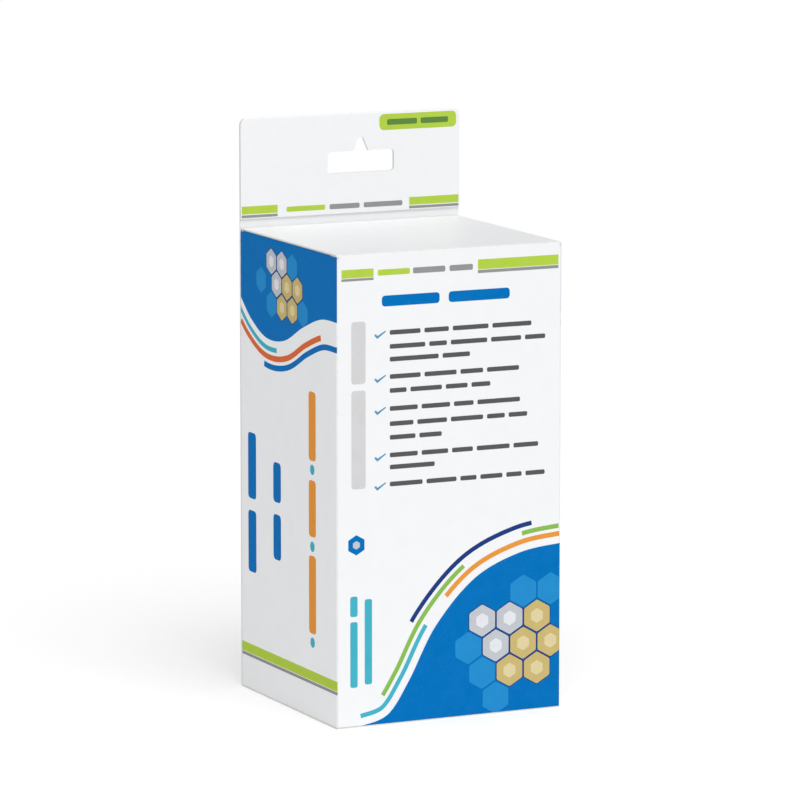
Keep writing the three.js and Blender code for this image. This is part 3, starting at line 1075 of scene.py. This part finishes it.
rim = {"top": 152.4, "frontReach": 4.08, "backReach": 1.18, "drop": 0.02}
dustFold = {
    "pivotX": 39.4, "pivotZ": 151.9, "outerWide": 0.6, "outerHigh": 0.5, "innerWide": 0.1,
    "front": -32.99, "back": 35.29, "steps": 10, "lengthSteps": 12,
}
tuckFold = {
    "y": (-37.15, -36.66), "z": (152.39, 152.51), "halfWidth": 38.1, "steps": 10, "lengthSteps": 12,
}
lidFold = {
    "y": (36.53, 37.28), "z": (151.79, 152.51), "halfWidth": 39.0, "steps": 6, "lengthSteps": 12,
}


def sweptMesh(rings):
    # Closed solid through rings of equally many points
    count = len(rings[0])
    points = [[c * mm for c in p] for ring in rings for p in ring]
    faces = []
    for i in range(len(rings) - 1):
        for j in range(count):
            a, b = i * count + j, i * count + (j + 1) % count
            faces.append([a, b, b + count, a + count])
    last = (len(rings) - 1) * count
    faces += [list(reversed(range(count))), [last + j for j in range(count)]]
    mesh = bmesh.new()
    verts = [mesh.verts.new(p) for p in points]
    for face in faces:
        mesh.faces.new([verts[i] for i in face])
    bmesh.ops.recalc_face_normals(mesh, faces=mesh.faces[:])
    mesh.verts.index_update()
    points = [tuple(v.co) for v in mesh.verts]
    faces = [[v.index for v in f.verts] for f in mesh.faces]
    mesh.free()
    return points, faces


def makeRims(finish):
    # The side walls' edge on both sides of each dust flap, from the flap round to the next wall
    low, high = sleeve["sideTop"] - rim["drop"], rim["top"]
    backStart = sideStart + sideFlat
    spans = {"front": (flatHalf, sideStart + rim["frontReach"]),
             "back": (backStart - rim["backReach"], backStart)}
    for side, sign in (("left", -1), ("right", 1)):
        for end, (start, stop) in spans.items():
            cuts = [start] + sorted(c for c in foldCuts() if start < c < stop) + [stop]
            rings = []
            for u in cuts:
                outer = foldRound(sign * u, 0, 0)[:2]
                inner = foldRound(sign * u, 0, -board["thickness"])[:2]
                rings.append([(*outer, low), (*inner, low), (*inner, high), (*outer, high)])
            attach(newPiece(f"rim_{side}_{end}", *sweptMesh(rings), finish), "carton")


def makeDustFold(side, sign):
    # A quarter bend of board from the side wall to its dust flap
    f = dustFold
    pivotX, pivotZ = f["pivotX"], f["pivotZ"]
    outer = [(pivotX + f["outerWide"], sleeve["sideTop"])]
    inner = [(pivotX + f["innerWide"], sleeve["sideTop"])]
    for i in range(f["steps"] + 1):
        a = math.pi / 2 * i / f["steps"]
        outer.append((pivotX + f["outerWide"] * math.cos(a), pivotZ + f["outerHigh"] * math.sin(a)))
        inner.append((pivotX + f["innerWide"] * math.cos(a), pivotZ))
    section = outer + list(reversed(inner))
    rings = []
    for i in range(f["lengthSteps"] + 1):
        y = f["front"] + (f["back"] - f["front"]) * i / f["lengthSteps"]
        rings.append([(sign * x, y, z) for x, z in section])
    piece = newPiece(f"dust_fold_{side}", *sweptMesh(rings), inkOf["blue"])
    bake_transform(piece)


def makeStrip(name, fold, finish, slot):
    # A flat strip of board across the carton, made in even steps from its upper edge
    # to its lower one.
    low, high = fold["z"]
    heights = [high + (low - high) * i / fold["steps"] for i in range(fold["steps"] + 1)]
    section = [(fold["y"][0], z) for z in heights] + [(fold["y"][1], z) for z in reversed(heights)]
    rings = []
    for i in range(fold["lengthSteps"] + 1):
        x = fold["halfWidth"] * (2 * i / fold["lengthSteps"] - 1)
        rings.append([(x, y, z) for y, z in section])
    piece = newPiece(name, *sweptMesh(rings), finish, slot)
    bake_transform(piece)


printHeader()
printFront()
printFields()
for side in sides:
    printSide(side)
printBack()
print("the print is laid")

foldBoard = boardMaterial("fold_board", "carton_sleeve", lambda w, place: 1.0)
foldInside = boardMaterial("fold_inside")
makeRims(foldBoard)
makeDustFold("left", -1)
makeDustFold("right", 1)
makeStrip("tuck_fold", tuckFold, foldBoard, "printed_board")
makeStrip("lid_fold", lidFold, foldInside, "plain_board")
print("the creases are closed")
